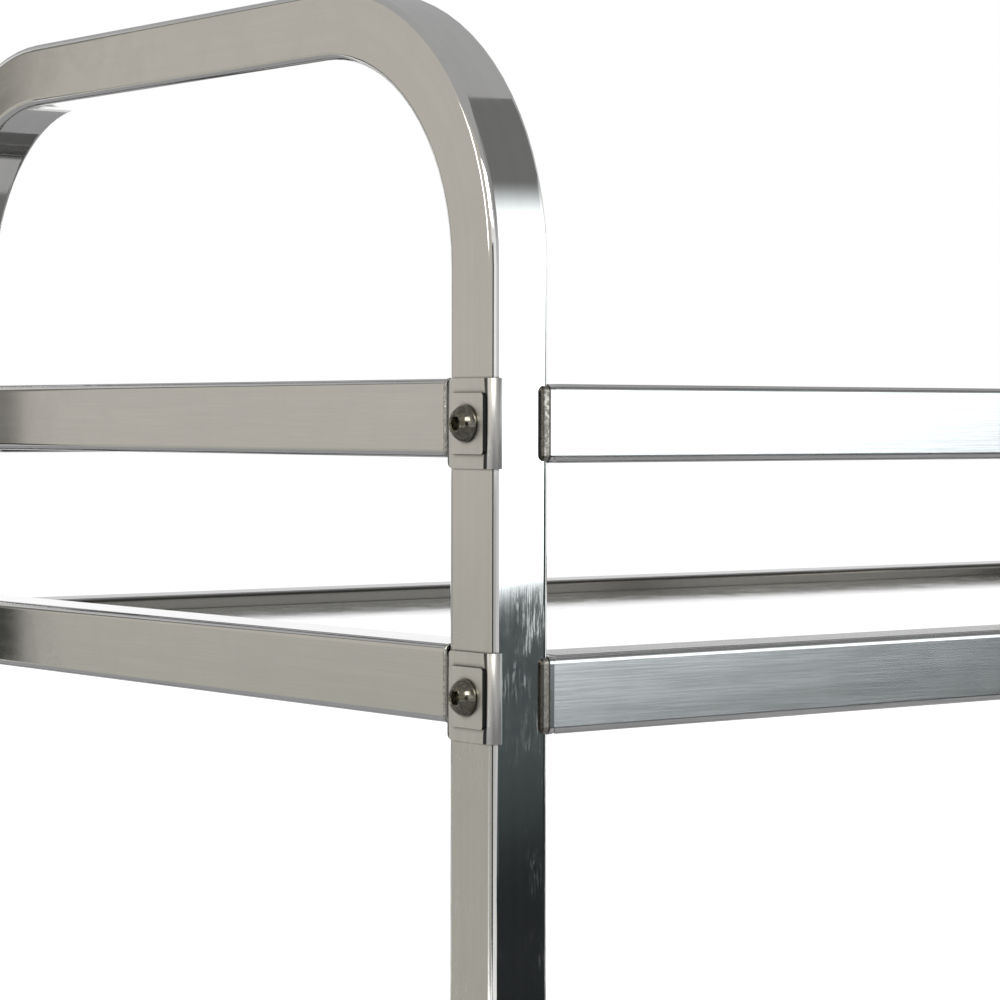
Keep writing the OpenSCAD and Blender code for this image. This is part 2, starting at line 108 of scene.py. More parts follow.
# Grip bars of the pedals: first and last from the pin, length, and how much shorter the outer ones are
GRIP_START, GRIP_END, GRIP_LENGTH, GRIP_SHORTER = 0.015, 0.034, 0.034, 0.002
GRIP_WIDTH, GRIP_HEIGHT, GRIP_LIFT, GRIP_EDGE = 0.0018, 0.0016, 0.0004, 0.0005

# The camera: its place, and its turn from the X axis, downwards and about its own axis in degrees
CAMERA_PLACE = (-1.11208, -1.15635, 0.7288)
CAMERA_YAW, CAMERA_PITCH, CAMERA_ROLL = 52.304, 1.485, 0.094

WHITE = (1.0, 1.0, 1.0, 1.0)


# Settings

def colour_setting(name, description, default):
    """A colour that a user may change, in linear values."""
    return FloatVectorProperty(name=name, description=description, default=default, subtype="COLOR",
                               size=3, min=0.0, max=1.0)


def length_setting(name, description, default, low, high):
    """A length in metres that a user may change."""
    return FloatProperty(name=name, description=description, default=default, min=low, max=high,
                         precision=5, unit="LENGTH")


def share_setting(name, description, default, low=0.0, high=1.0):
    """A plain share from low to high."""
    return FloatProperty(name=name, description=description, default=default, min=low, max=high,
                         subtype="FACTOR")


class CartSteelSettings(bpy.types.PropertyGroup):
    """Colours and grain of the stainless steel."""

    post_colour: colour_setting("Post colour", "Steel of the bent end frames", (0.79, 0.785, 0.77))
    rail_colour: colour_setting("Rail colour", "Steel of the rails", (0.80, 0.80, 0.795))
    clip_colour: colour_setting("Clip colour", "Satin sheet of the corner clips and pads",
                                (0.78, 0.77, 0.745))
    collar_colour: colour_setting("Collar colour", "Ground steel of the rail collars", (0.46, 0.43, 0.385))
    screw_colour: colour_setting("Screw colour", "Steel of the rail screws", (0.25, 0.24, 0.195))
    tray_colour: colour_setting("Tray colour", "Bright sheet of the trays", (0.95, 0.95, 0.95))
    grain_length: length_setting("Grain length", "Length of one polishing line", 0.045, 0.005, 0.2)
    grain_width: length_setting("Grain width", "Width of one polishing line", 0.0005, 0.0001, 0.003)
    bend_radius: length_setting("Bend radius", "Centre line radius of the handle's bends", 0.100, 0.05, 0.2)
    weld_radius: length_setting("Weld radius", "Radius of the weld beads between rails and posts",
                                0.0007, 0.0003, 0.003)


class CartCasterSettings(bpy.types.PropertyGroup):
    """Colours and details of the casters."""

    tyre_colour: colour_setting("Tyre colour", "Non-marking rubber of the tyres", (0.155, 0.158, 0.165))
    wheel_colour: colour_setting("Wheel colour", "Moulded wheel bodies", (0.50, 0.51, 0.52))
    zinc_colour: colour_setting("Zinc colour", "Plated forks, cups and stems", (0.70, 0.71, 0.72))
    bolt_colour: colour_setting("Bolt colour", "Plated axles and nuts", (0.66, 0.67, 0.68))
    bush_colour: colour_setting("Bush colour", "Sintered bronze of the bushes", (0.50, 0.34, 0.17))
    pedal_colour: colour_setting("Pedal colour", "Plastic of the brake pedals", (0.022, 0.022, 0.025))
    plug_colour: colour_setting("Plug colour", "Plastic of the post plugs", (0.026, 0.026, 0.029))
    washer_colour: colour_setting("Washer colour", "Nylon of the sliding washers", (0.78, 0.75, 0.66))
    spokes: IntProperty(name="Ribs", description="Radial ribs on each side of a wheel", default=8, min=3,
                        max=16)
    rib_width: length_setting("Rib width", "Width of a wheel's radial ribs", 0.0030, 0.001, 0.008)
    groove_depth: length_setting("Groove depth", "Depth of the grooves round a tyre", 0.0008, 0.0002, 0.003)
    tread_bars: IntProperty(name="Tread bars", description="Grip bars across a brake pedal", default=5,
                            min=2, max=9)


class CartStageSettings(bpy.types.PropertyGroup):
    """Floor, lamps and camera."""

    floor_colour: colour_setting("Floor colour", "Pale studio floor", (0.80, 0.80, 0.80))
    lamp_power: FloatProperty(name="Lamp power", description="Power of the soft lamp over the cart",
                              default=150.0, min=0.0, max=2000.0, unit="POWER")
    key_power: FloatProperty(name="Key power", description="Power of the soft lamp beside the cart",
                             default=30.0, min=0.0, max=2000.0, unit="POWER")
    sky: share_setting("Sky", "Strength of the even light from all round", 0.62)
    lens: FloatProperty(name="Lens", description="Focal length in millimetres on a 36 mm sensor",
                        default=112.847, min=10.0, max=400.0)


# Node helpers

def put(tree, kind, sockets=None, **settings):
    """Adds a node, sets it, and fills its sockets with values or links."""
    made = tree.nodes.new(kind)
    for name, value in settings.items():
        setattr(made, name, value)
    for key, value in (sockets or {}).items():
        target = made.inputs[key]
        if isinstance(value, bpy.types.NodeSocket):
            tree.links.new(value, target)
        else:
            target.default_value = value
    return made


def calc(tree, operation, first, second=0.0, third=0.0, clamp=False):
    """A Math node's result."""
    made = put(tree, "ShaderNodeMath", {0: first, 1: second, 2: third}, operation=operation,
               use_clamp=clamp)
    return made.outputs[0]


def times(tree, first, second):
    """Two values multiplied."""
    return calc(tree, "MULTIPLY", first, second)


def raised(tree, value, mask, amount, clamp=False):
    """A value with an amount added as far as a mask says."""
    return calc(tree, "ADD", value, times(tree, mask, amount), clamp=clamp)


def split(tree, vector):
    """The three parts of a vector."""
    return put(tree, "ShaderNodeSeparateXYZ", {0: vector}).outputs


def scaled(tree, vector, factors):
    """A vector times three factors, each a number or a socket."""
    if any(isinstance(f, bpy.types.NodeSocket) for f in factors):
        by = put(tree, "ShaderNodeCombineXYZ", dict(enumerate(factors))).outputs[0]
    else:
        by = factors
    return put(tree, "ShaderNodeVectorMath", {0: vector, 1: by}, operation="MULTIPLY").outputs[0]


def ramp(tree, value, low, high, to_low=0.0, to_high=1.0):
    """A value brought smoothly from one range to another."""
    made = put(tree, "ShaderNodeMapRange", {"Value": value, "From Min": low, "From Max": high,
                                            "To Min": to_low, "To Max": to_high},
               interpolation_type="SMOOTHSTEP")
    return made.outputs[0]


def tone(colour, factor=1.0):
    """A colour with its alpha, times one factor or one for each channel."""
    factors = factor if isinstance(factor, tuple) else (factor,) * 3
    return (*[c * f for c, f in zip(colour, factors)], 1.0)


def blended(tree, share, first, second):
    """Two colours mixed by a share."""
    return put(tree, "ShaderNodeMix", {0: share, 6: first, 7: second}, data_type="RGBA").outputs[2]


def stained(tree, shade, mask, amount, colour):
    """A colour mixed with another as far as a mask says, up to an amount."""
    return blended(tree, times(tree, mask, amount), shade, colour)


def cloud(tree, vector, scale, detail=2.0, roughness=0.5, distortion=0.0):
    """A noise value."""
    made = put(tree, "ShaderNodeTexNoise", {"Vector": vector, "Scale": scale, "Detail": detail,
                                            "Roughness": roughness, "Distortion": distortion})
    return made.outputs[0]


def effect(name, inputs, outputs):
    """Starts a shader node group; gives its tree, what comes in and what goes out."""
    tree = bpy.data.node_groups.new(name, "ShaderNodeTree")
    for label, kind, default in inputs:
        socket = tree.interface.new_socket(name=label, in_out="INPUT", socket_type=kind)
        if default is not None:
            socket.default_value = default
    for label, kind in outputs:
        tree.interface.new_socket(name=label, in_out="OUTPUT", socket_type=kind)
    entry = tree.nodes.new("NodeGroupInput")
    leave = tree.nodes.new("NodeGroupOutput")
    return tree, entry.outputs, leave.inputs


def use(tree, group, **sockets):
    """Places one of the shared effects and gives its outputs; an underscore stands for a space."""
    made = {key.replace("_", " "): value for key, value in sockets.items()}
    return put(tree, "ShaderNodeGroup", made, node_tree=shared(group)).outputs


FLOAT, VECTOR = "NodeSocketFloat", "NodeSocketVector"


def polishing_lines():
    """Fine lines along X of the given coordinates, and broader bands among them."""
    tree, entry, leave = effect("polishing_lines", [("Vector", VECTOR, None), ("Length", FLOAT, 0.045),
                                                    ("Width", FLOAT, 0.0005)],
                                [("Lines", FLOAT), ("Bands", FLOAT)])
    along = calc(tree, "DIVIDE", 1.0, entry["Length"])
    across = calc(tree, "DIVIDE", 1.0, entry["Width"])
    fine = scaled(tree, entry["Vector"], (along, across, across))
    tree.links.new(cloud(tree, fine, 1.0, 3.0, 0.62), leave["Lines"])
    band_width, band_length = 0.13, 0.35
    wide = times(tree, across, band_width)
    long = times(tree, along, band_length)
    broad = scaled(tree, entry["Vector"], (long, wide, wide))
    tree.links.new(ramp(tree, cloud(tree, broad, 1.0, 3.0, 0.55), 0.32, 0.68), leave["Bands"])
    return tree


def stray_scratches():
    """Thin scratches in three directions, thinned out by a cloud."""
    tree, entry, leave = effect("stray_scratches", [("Vector", VECTOR, None), ("Size", FLOAT, 0.03),
                                                    ("Amount", FLOAT, 0.5)], [("Mask", FLOAT)])
    long = calc(tree, "DIVIDE", 1.0, entry["Size"])
    slimness = 60.0
    thin = times(tree, long, slimness)
    total = None
    for turn in ((0.3, 0.5, 0.2), (1.2, -0.4, 0.9), (-0.7, 1.1, 2.1)):
        turned = put(tree, "ShaderNodeVectorRotate", {"Vector": entry["Vector"], "Rotation": turn},
                     rotation_type="EULER_XYZ").outputs[0]
        value = cloud(tree, scaled(tree, turned, (long, thin, thin)), 1.0, 1.0, 0.4)
        line = ramp(tree, value, 0.70, 0.76)
        total = line if total is None else calc(tree, "MAXIMUM", total, line)
    where = cloud(tree, entry["Vector"], 22.0, 2.0)
    limit = calc(tree, "SUBTRACT", 0.85, times(tree, entry["Amount"], 0.5))
    keep = put(tree, "ShaderNodeMapRange", {"Value": where, "From Min": limit,
                                            "From Max": calc(tree, "ADD", limit, 0.12)})
    tree.links.new(times(tree, total, keep.outputs[0]), leave["Mask"])
    return tree


def handling_marks():
    """Soft blotches, as wiping and hands leave them on bright metal."""
    tree, entry, leave = effect("handling_marks", [("Vector", VECTOR, None), ("Size", FLOAT, 0.03)],
                                [("Mask", FLOAT), ("Specks", FLOAT)])
    scale = calc(tree, "DIVIDE", 1.0, entry["Size"])
    soft = cloud(tree, entry["Vector"], scale, 4.0, 0.55, 0.6)
    tree.links.new(ramp(tree, soft, 0.42, 0.72), leave["Mask"])
    small = cloud(tree, entry["Vector"], times(tree, scale, 14.0), 2.0, 0.5)
    tree.links.new(ramp(tree, small, 0.70, 0.80), leave["Specks"])
    return tree


def tube_run():
    """Coordinates that follow a bent end frame: X runs along the tube, Y and Z across it."""
    sides_apart = 3.0
    tree, entry, leave = effect("tube_run", [("Vector", VECTOR, None), ("Bend Radius", FLOAT, 0.1),
                                             ("Straight", FLOAT, 0.116), ("Bend Start", FLOAT, 0.786)],
                                [("Vector", VECTOR)])
    parts = split(tree, entry["Vector"])
    side = calc(tree, "ABSOLUTE", parts[1])
    out = calc(tree, "SUBTRACT", side, entry["Straight"])
    up = calc(tree, "SUBTRACT", parts[2], entry["Bend Start"])
    out_in_bend = calc(tree, "MAXIMUM", out, 0.0)
    up_in_bend = calc(tree, "MAXIMUM", up, 0.0)
    angle = calc(tree, "ARCTAN2", up_in_bend, out_in_bend)
    reach = calc(tree, "SQRT", calc(tree, "ADD", times(tree, out_in_bend, out_in_bend),
                                    times(tree, up_in_bend, up_in_bend)))
    along = times(tree, angle, entry["Bend Radius"])
    below = calc(tree, "MINIMUM", up, 0.0)
    beyond = calc(tree, "MINIMUM", out, 0.0)
    run = calc(tree, "SUBTRACT", calc(tree, "ADD", along, below), beyond)
    run_signed = raised(tree, run, calc(tree, "SIGN", parts[1]), sides_apart)
    joined = put(tree, "ShaderNodeCombineXYZ", {0: run_signed, 1: reach, 2: parts[0]}).outputs[0]
    tree.links.new(joined, leave["Vector"])
    return tree


def settled_dust():
    """A thin film on faces that look up."""
    tree, entry, leave = effect("settled_dust", [("Vector", VECTOR, None), ("Amount", FLOAT, 0.3)],
                                [("Mask", FLOAT)])
    normal = put(tree, "ShaderNodeNewGeometry").outputs["Normal"]
    facing = ramp(tree, split(tree, normal)[2], 0.3, 0.95)
    patch = ramp(tree, cloud(tree, entry["Vector"], 9.0, 5.0, 0.6), 0.38, 0.72)
    film = times(tree, facing, patch)
    tree.links.new(times(tree, film, entry["Amount"]), leave["Mask"])
    return tree


EFFECT_MAKERS = {"polishing_lines": polishing_lines, "stray_scratches": stray_scratches,
                 "handling_marks": handling_marks, "tube_run": tube_run, "settled_dust": settled_dust}


def shared(name):
    """An effect's node group, made once."""
    return bpy.data.node_groups.get(name) or EFFECT_MAKERS[name]()


# Materials

def new_material(name):
    """A material with its tree, its Principled BSDF and its own object coordinates."""
    material = bpy.data.materials.new(name)
    material.use_nodes = True
    tree = material.node_tree
    tree.nodes.clear()
    output = tree.nodes.new("ShaderNodeOutputMaterial")
    shader = tree.nodes.new("ShaderNodeBsdfPrincipled")
    tree.links.new(shader.outputs[0], output.inputs["Surface"])
    where = tree.nodes.new("ShaderNodeTexCoord")
    where.name = "place"
    return material, tree, shader, where.outputs["Object"]


def finished(tree, shader, shade, rough, height, depth, metallic=1.0):
    """Links a material's colour and roughness, and a relief of the given depth in metres."""
    tree.links.new(shade, shader.inputs["Base Color"])
    tree.links.new(rough, shader.inputs["Roughness"])
    shader.inputs["Metallic"].default_value = metallic
    bump = put(tree, "ShaderNodeBump", {"Height": height, "Distance": depth, "Strength": 1.0})
    tree.links.new(bump.outputs[0], shader.inputs["Normal"])


def lengthwise(tree, place, run):
    """Coordinates whose X runs along the piece: "x", "y" or "z" of the cart."""
    parts = split(tree, place)
    order = {"x": (0, 1, 2), "y": (1, 2, 0), "z": (2, 0, 1)}[run]
    return put(tree, "ShaderNodeCombineXYZ", {i: parts[k] for i, k in enumerate(order)}).outputs[0]


def crevice(tree, shade, distance):
    """A colour darkened with painted shade where another surface stands close by."""
    near = put(tree, "ShaderNodeAmbientOcclusion", {"Distance": distance}, samples=6).outputs["AO"]
    return blended(tree, ramp(tree, near, 0.35, 0.92, 1.0, 0.0), shade, (0.06, 0.055, 0.05, 1.0))


def turned_faces(tree, shade, colour, facing, place, edges, inner, topside):
    """Paints shade on faces by the way they look; gives the colour and the mask of the inner faces, if any.
    """
    inwards = None
    # Painted shade: faces that look away from X take the darker colour, and a thin painted dark line runs
    # along the bends next to the faces that look along X
    if edges < 1.0:
        along = calc(tree, "ABSOLUTE", facing[0])
        shade = blended(tree, ramp(tree, along, 0.55, 0.74), tone(colour, edges), shade)
        bend_shade_line = times(tree, ramp(tree, along, 0.86, 0.91), ramp(tree, along, 0.975, 0.992, 1.0, 0.0))
        shade = blended(tree, bend_shade_line, shade, tone(colour, 0.09))
    # Painted shade on the faces that look to the cart's middle, a little warmer
    if inner < 1.0:
        side = calc(tree, "SIGN", split(tree, place)[1])
        outwards = times(tree, side, facing[1])
        inwards = ramp(tree, times(tree, outwards, -1.0), 0.35, 0.85)
        shade = blended(tree, inwards, shade, tone(colour, (inner, inner * 0.93, inner * 0.84)))
    # Painted shade on the faces that look up
    if topside < 1.0:
        shade = blended(tree, ramp(tree, facing[2], 0.86, 0.96), shade, tone(colour, topside))
    return shade, inwards


def worn_wisps(tree, along, place):
    """A mask of short wisps along the polish, dense below HAZE_LEVEL and sparse above it."""
    wisp = use(tree, "polishing_lines", Vector=along, Length=0.011, Width=0.00055)
    patch = ramp(tree, cloud(tree, along, 30.0, 4.0, 0.7), 0.42, 0.60)
    mask = times(tree, ramp(tree, wisp["Lines"], 0.46, 0.66), patch)
    return times(tree, mask, ramp(tree, split(tree, place)[2], *HAZE_LEVEL, 1.0, 0.12))


def steel(name, colour, run, roughness, anisotropic=0.0, axis="Z", grain=0.00003, streak=0.05, marks=0.06,
          scratches=0.12, scratch_amount=0.45, tint=0.05, dust=0.0, width_factor=1.0, haze=0.0, edges=1.0,
          inner=1.0, topside=1.0, fine=0.0, dirt_and_crevice_shade=0.0):
    """Brushed or polished stainless steel with grain, wiping marks and stray scratches.

    grain is the relief's depth. fine darkens the grain's lines, and tint its bands. streak, marks,
    scratches, dust and haze say how much rougher each makes the steel. edges paints shade on the faces
    that look away from X, inner on those that look to the cart's middle, and topside on those that look
    up; 1 leaves them. The last one is how far painted shade reaches into a crevice.
    """
    settings = bpy.context.scene.cart_steel
    material, tree, shader, place = new_material(name)
    if run == "hoop":
        straight = POST_WIDTH / 2 + settings.bend_radius
        along = use(tree, "tube_run", Vector=place, Bend_Radius=settings.bend_radius,
                    Straight=POST_OUT_Y - straight, Bend_Start=HANDLE_TOP - straight)["Vector"]
    else:
        along = lengthwise(tree, place, run)
    lines = use(tree, "polishing_lines", Vector=along, Length=settings.grain_length,
                Width=settings.grain_width * width_factor)
    scratch = use(tree, "stray_scratches", Vector=place, Size=0.035, Amount=scratch_amount)["Mask"]
    mark = use(tree, "handling_marks", Vector=place, Size=0.022)
    film = use(tree, "settled_dust", Vector=place, Amount=dust)["Mask"]
    dull = tone(colour, 1.0 - 2.2 * tint)
    shade = blended(tree, lines["Bands"], tone(colour, 1.0 - tint), tone(colour))
    if fine:
        shade = blended(tree, ramp(tree, lines["Lines"], 0.42, 0.58, fine, 0.0), shade, tone(colour, 0.55))
    shade = stained(tree, shade, mark["Mask"], 0.5, dull)
    shade = stained(tree, shade, mark["Specks"], 0.25, dull)
    shade = stained(tree, shade, scratch, 0.25, tone(colour, 0.72))
    rough = raised(tree, roughness, lines["Bands"], streak)
    facing = split(tree, tree.nodes["place"].outputs["Normal"])
    # Painted shade by the way the faces look
    shade, inwards = turned_faces(tree, shade, colour, facing, place, edges, inner, topside)
    if inwards is not None:
        rough = raised(tree, rough, inwards, 0.06)
    if haze:
        rough = raised(tree, rough, worn_wisps(tree, along, place), haze)
    # Painted shade in crevices, where another surface stands close by
    if dirt_and_crevice_shade:
        shade = crevice(tree, shade, dirt_and_crevice_shade)
    rough = raised(tree, rough, mark["Mask"], marks)
    rough = raised(tree, rough, scratch, scratches)
    rough = calc(tree, "ADD", rough, film, clamp=True)
    if anisotropic:
        shader.inputs["Anisotropic"].default_value = anisotropic
        around = put(tree, "ShaderNodeTangent", direction_type="RADIAL", axis=axis).outputs[0]
        tree.links.new(around, shader.inputs["Tangent"])
    height = calc(tree, "SUBTRACT", lines["Lines"], times(tree, scratch, 0.6))
    finished(tree, shader, shade, rough, height, grain)
    return material


def cast_steel(name, colour, roughness, pits=0.00012, rust=0.15, polished_from=None):
    """Steel with a coarse, grainy skin and a little brown in its pits.

    Nearer to the cart's middle than polished_from along X it is polished as a rail is, behind a dark seam;
    its rim at the far end is painted near black as shade.
    """
    material, tree, shader, place = new_material(name)
    grainy = cloud(tree, place, 900.0, 4.0, 0.6)
    pit = ramp(tree, cloud(tree, place, 620.0, 4.0, 0.65, 0.4), 0.44, 0.60)
    stain = ramp(tree, cloud(tree, place, 95.0, 4.0, 0.6), 0.52, 0.72)
    shade = blended(tree, pit, tone(colour, 0.62), tone(colour))
    shade = stained(tree, shade, stain, rust, tone(colour, (0.62, 0.50, 0.36)))
    rough = raised(tree, roughness, pit, -0.16)
    rough = raised(tree, rough, stain, 0.12, clamp=True)
    height = raised(tree, pit, grainy, 0.4)
    if polished_from:
        polished, seam_end, lip_edge = 0.12, polished_from + 0.0008, polished_from + 0.0030
        far = calc(tree, "ABSOLUTE", split(tree, place)[0])
        raw = ramp(tree, far, polished_from, polished_from + 0.0002)
        seam = times(tree, raw, ramp(tree, far, seam_end, seam_end + 0.0004, 1.0, 0.0))
        # From lip_edge to the far end the collar is painted near black as the shade at its rim
        edge = ramp(tree, far, lip_edge, lip_edge + 0.0004)
        shade = blended(tree, raw, (0.80, 0.80, 0.795, 1.0), shade)
        shade = blended(tree, calc(tree, "MAXIMUM", seam, edge), shade, (0.10, 0.09, 0.075, 1.0))
        rough = raised(tree, polished, raw, calc(tree, "SUBTRACT", rough, polished))
        height = times(tree, height, raw)
    finished(tree, shader, shade, rough, height, pits)
    return material


def plated_steel(name, colour, roughness):
    """Bright zinc plate: a fine crystal skin, faint yellow and blue clouds."""
    material, tree, shader, place = new_material(name)
    cells = put(tree, "ShaderNodeTexVoronoi", {"Vector": place, "Scale": 420.0}).outputs["Distance"]
    wash = ramp(tree, cloud(tree, place, 38.0, 3.0, 0.55, 0.8), 0.36, 0.66)
    mark = use(tree, "handling_marks", Vector=place, Size=0.016)["Mask"]
    scratch = use(tree, "stray_scratches", Vector=place, Size=0.018, Amount=0.5)["Mask"]
    shade = blended(tree, wash, tone(colour, (0.90, 0.95, 1.02)), tone(colour, (1.02, 0.98, 0.88)))
    shade = stained(tree, shade, mark, 0.4, tone(colour, 0.72))
    rough = raised(tree, roughness, mark, 0.14)
    rough = raised(tree, rough, scratch, 0.25, clamp=True)
    finished(tree, shader, shade, rough, cells, 0.00002)
    return material


def moulded_plastic(name, colour, roughness):
    """Moulded plastic with a spark-eroded skin, scuffs and a little dust."""
    material, tree, shader, place = new_material(name)
    fine = cloud(tree, place, 2600.0, 2.0, 0.6)
    soft = cloud(tree, place, 60.0, 3.0, 0.55)
    scratch = use(tree, "stray_scratches", Vector=place, Size=0.02, Amount=0.55)["Mask"]
    film = use(tree, "settled_dust", Vector=place, Amount=0.25)["Mask"]
    pale = (*[c + (0.55 - c) * 0.35 for c in colour], 1.0)
    shade = blended(tree, ramp(tree, soft, 0.3, 0.7), tone(colour, 0.88), tone(colour))
    shade = stained(tree, shade, scratch, 0.3, pale)
    shade = stained(tree, shade, film, 0.5, (0.42, 0.41, 0.39, 1.0))
    rough = raised(tree, roughness, soft, 0.12)
    rough = calc(tree, "ADD", rough, film, clamp=True)
    finished(tree, shader, shade, rough, fine, 0.00003, metallic=0.0)
    return material


def tyre_rubber(name, colour):
    """Matt rubber: scuffed pale on the tread, with dust in the skin."""
    material, tree, shader, place = new_material(name)
    fine = cloud(tree, place, 1500.0, 3.0, 0.65)
    worn = ramp(tree, cloud(tree, place, 120.0, 4.0, 0.6, 0.5), 0.45, 0.7)
    dirt_and_crevice_shade = ramp(tree, cloud(tree, place, 34.0, 4.0, 0.6), 0.42, 0.7)
    scuffed = (*[min(1.0, c * 1.8) for c in colour], 1.0)
    shade = stained(tree, tone(colour), worn, 0.35, scuffed)
    shade = stained(tree, shade, dirt_and_crevice_shade, 0.28, (0.25, 0.235, 0.21, 1.0))
    rough = raised(tree, 0.62, worn, 0.22, clamp=True)
    finished(tree, shader, shade, rough, fine, 0.00006, metallic=0.0)
    return material


def sintered_bronze(name, colour):
    """Porous bronze, darkened by oil."""
    material, tree, shader, place = new_material(name)
    pores = put(tree, "ShaderNodeTexVoronoi", {"Vector": place, "Scale": 1400.0}).outputs["Distance"]
    oil = ramp(tree, cloud(tree, place, 140.0, 3.0), 0.4, 0.65)
    shade = blended(tree, oil, tone(colour), tone(colour, 0.5))
    rough = calc(tree, "SUBTRACT", 0.42, times(tree, oil, 0.18))
    finished(tree, shader, shade, rough, pores, 0.00005)
    return material


def wear(piece, material):
    """Gives a piece one material on all its faces."""
    piece.data.materials.clear()
    piece.data.materials.append(material)


def dress(names, material):
    """Gives CAD nodes a material."""
    for name in names:
        wear(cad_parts[name], material)


def soften(node, width):
    """Breaks the sharp edges of a CAD node with a small bevel; its own mesh stays as it is."""
    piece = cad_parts[node]
    joined = piece.modifiers.new("joined", "WELD")
    joined.merge_threshold = 0.00001
    rounded = piece.modifiers.new("rounded", "BEVEL")
    rounded.width = width
    rounded.segments = 2
    rounded.limit_method = "ANGLE"
    rounded.angle_limit = math.radians(35.0)
    rounded.harden_normals = True


# Mesh helpers

def placed(name, data):
    """An object with the given data, linked into the scene."""
    made = bpy.data.objects.new(name, data)
    bpy.context.scene.collection.objects.link(made)
    return made


def piece_from(name, built, body, material, smooth_angle=40.0):
    """Turns a bmesh into a piece that rides on a body."""
    mesh = bpy.data.meshes.new(name)
    bmesh.ops.recalc_face_normals(built, faces=built.faces)
    built.normal_update()
    built.to_mesh(mesh)
    built.free()
    made = placed(name, mesh)
    mesh.shade_smooth()
    mesh.set_sharp_from_angle(angle=math.radians(smooth_angle))
    wear(made, material)
    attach(made, body)
    return made


def skin(built, here, there):
    """Faces between two closed rings of points."""
    count = len(here)
    for k in range(count):
        n = (k + 1) % count
        built.faces.new((here[k], here[n], there[n], there[k]))


def revolve(built, profile, middle, steps):
    """Turns a closed profile of (radius, offset) points round an axis along Y through middle."""
    rings = []
    for step in range(steps):
        turn = 2 * math.pi * step / steps
        rings.append([built.verts.new(middle + Vector((r * math.cos(turn), y, r * math.sin(turn))))
                      for r, y in profile])
    for step, here in enumerate(rings):
        skin(built, here, rings[(step + 1) % steps])


def round_corner(centre, radius, start, end, steps):
    """Points of an arc, in degrees."""
    points = []
    for i in range(steps + 1):
        turn = math.radians(start + (end - start) * i / steps)
        points.append((centre[0] + radius * math.cos(turn), centre[1] + radius * math.sin(turn)))
    return points


def add_block(built, size, place, bevel, taper=1.0):
    """A bevelled block, its far end (+X) narrower by taper, set by a matrix."""
    made = bmesh.ops.create_cube(built, size=1.0)["verts"]
    for vert in made:
        narrow = taper if vert.co.x > 0 else 1.0
        vert.co = Vector((vert.co.x * size[0], vert.co.y * size[1] * narrow, vert.co.z * size[2]))
    edges = {e for v in made for e in v.link_edges}
    result = bmesh.ops.bevel(built, geom=list(edges), offset=bevel, segments=2, profile=0.6, affect="EDGES",
                             clamp_overlap=True)
    for vert in {v for f in result["faces"] for v in f.verts} | {v for v in made if v.is_valid}:
        vert.co = place @ vert.co


def square_loop(middle, half, corner, steps=26):
    """Points and outward normals round a rounded square in the plane across Y."""
    path, normals = [], []
    flat = half - corner
    for turn, along in ((0, (0, 1)), (90, (-1, 0)), (180, (0, -1)), (270, (1, 0))):
        out = Vector((math.cos(math.radians(turn)), 0, math.sin(math.radians(turn))))
        run = Vector((along[0], 0, along[1]))
        for i in range(steps):
            path.append(middle + out * half + run * flat * (2 * i / (steps - 1) - 1))
            normals.append(out)
        for i in range(1, 4):
            bend = math.radians(turn + 90 * i / 4)
            normal = Vector((math.cos(bend), 0, math.sin(bend)))
            path.append(middle + (out + run) * flat + normal * corner)
            normals.append(normal)
    return path, normals


def bead(built, path, normals, radius, seed, steps=8):
    """A closed weld bead: a rippled rod round a loop."""
    rings = []
    turns = [2 * math.pi * k / steps for k in range(steps)]
    flatness, wave, pace, lumps = 0.6, 0.14, 2.1, 0.22
    for i, (point, out) in enumerate(zip(path, normals)):
        side = (path[(i + 1) % len(path)] - path[i - 1]).normalized().cross(out).normalized()
        thick = radius * (1.0 + wave * math.sin(i * pace + seed) + lumps * noise.noise(point * 900.0))
        rings.append([built.verts.new(point + (out * math.sin(a) * flatness + side * math.cos(a)) * thick)
                      for a in turns])
    for i, here in enumerate(rings):
        skin(built, here, rings[(i + 1) % len(rings)])


# Operators

class CART_OT_end_frames(bpy.types.Operator):
    """Finishes the two bent end frames"""

    bl_idname = "cart.end_frames"
    bl_label = "End frames"

    def execute(self, context):
        # The last setting paints shade in the crevices where other parts stand close to the frames
        look = steel("post_polish", context.scene.cart_steel.post_colour, "hoop", 0.05, anisotropic=0.80,
                     axis="Z", grain=0.000002, streak=0.015, marks=0.02, scratches=0.25,
                     scratch_amount=0.45, tint=0.03, haze=0.24, dirt_and_crevice_shade=0.0012)
        dress(["hoop_left", "hoop_right"], look)
        return {"FINISHED"}


class CART_OT_rails(bpy.types.Operator):
    """Finishes the long rails and the short rails of the end frames"""

    bl_idname = "cart.rails"
    bl_label = "Rails"

    def execute(self, context):
        colour = context.scene.cart_steel.rail_colour
        # inner and topside paint shade on the inner and top faces, and the last setting paints shade in the
        # crevices at the joints
        long_look = steel("long_rail_brushed", colour, "x", 0.165, anisotropic=0.80, axis="X",
                          grain=0.000008, streak=0.01, marks=0.005, scratch_amount=0.40, tint=0.03,
                          inner=0.14, topside=0.30, fine=0.30, width_factor=1.4, dirt_and_crevice_shade=0.001)
        short_look = steel("short_rail_brushed", colour, "y", 0.07, anisotropic=0.8, axis="Y",
                           grain=0.000004, streak=0.01, marks=0.015, scratch_amount=0.50, tint=0.03,
                           topside=0.50, fine=0.06, dirt_and_crevice_shade=0.001)
        for level in LEVELS:
            dress([f"{level}_rail_front", f"{level}_rail_back"], long_look)
            dress([f"{level}_rail_left", f"{level}_rail_right"], short_look)
        return {"FINISHED"}


